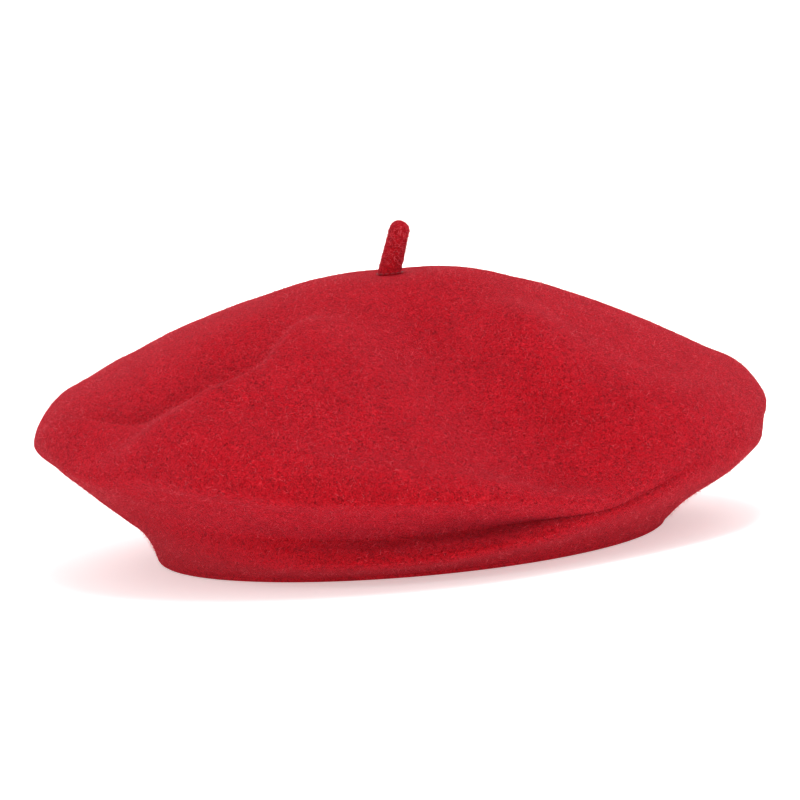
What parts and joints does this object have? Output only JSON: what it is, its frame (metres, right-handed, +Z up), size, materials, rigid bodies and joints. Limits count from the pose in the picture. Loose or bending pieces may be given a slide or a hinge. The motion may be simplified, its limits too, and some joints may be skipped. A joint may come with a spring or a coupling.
{
  "type": "beret",
  "caption": "Soft round wool-felt beret with a short felt stalk, an elastic turned-in hem and a ribbon sweatband inside.",
  "frame": {"origin": "centre of the hem, on the plane that the beret rests on", "axes": "+Z up from the resting plane to the stalk, +X to the wearer's side that the stalk leans to, -Y the drooping front, +Y the back with the bow"},
  "size_m": [0.2813, 0.2662, 0.123],
  "materials": {
    "wool_felt": "matt fulled wool with a short nap",
    "grosgrain_ribbon": "ribbed, slightly lustrous",
    "elastic": "matt braided elastic",
    "sewing_thread": "polyester thread",
    "label_satin": "plain woven satin, blank"
  },
  "bodies": {
    "crown": {"felt_crown": "wool_felt", "stem_root": "wool_felt", "stem_thread": "sewing_thread", "stem_knot": "sewing_thread", "elastic_band": "elastic", "channel_thread": "sewing_thread", "sweatband": "grosgrain_ribbon", "sweatband_thread": "sewing_thread", "bow_ribbon": "grosgrain_ribbon", "bow_wrap": "grosgrain_ribbon", "maker_label": "label_satin", "maker_label_stitch_left": "sewing_thread", "maker_label_stitch_right": "sewing_thread", "care_label_thread": "sewing_thread"},
    "stalk": {"stem": "wool_felt"},
    "care_flap": {"care_label": "label_satin"}
  },
  "joints": [
    {"name": "stem_bend", "type": "hinge", "parent": "crown", "child": "stalk", "pos_m": [0, 0, 0.1082], "axis": [0, 1, 0], "range_deg": [-55, 40], "stiffness_Nm_per_rad": 0.002},
    {"name": "label_flap", "type": "hinge", "parent": "crown", "child": "care_flap", "pos_m": [0.03058, 0.08401, 0.0234], "axis": [-0.9397, 0.342, 0], "range_deg": [0, 150]}
  ]
}
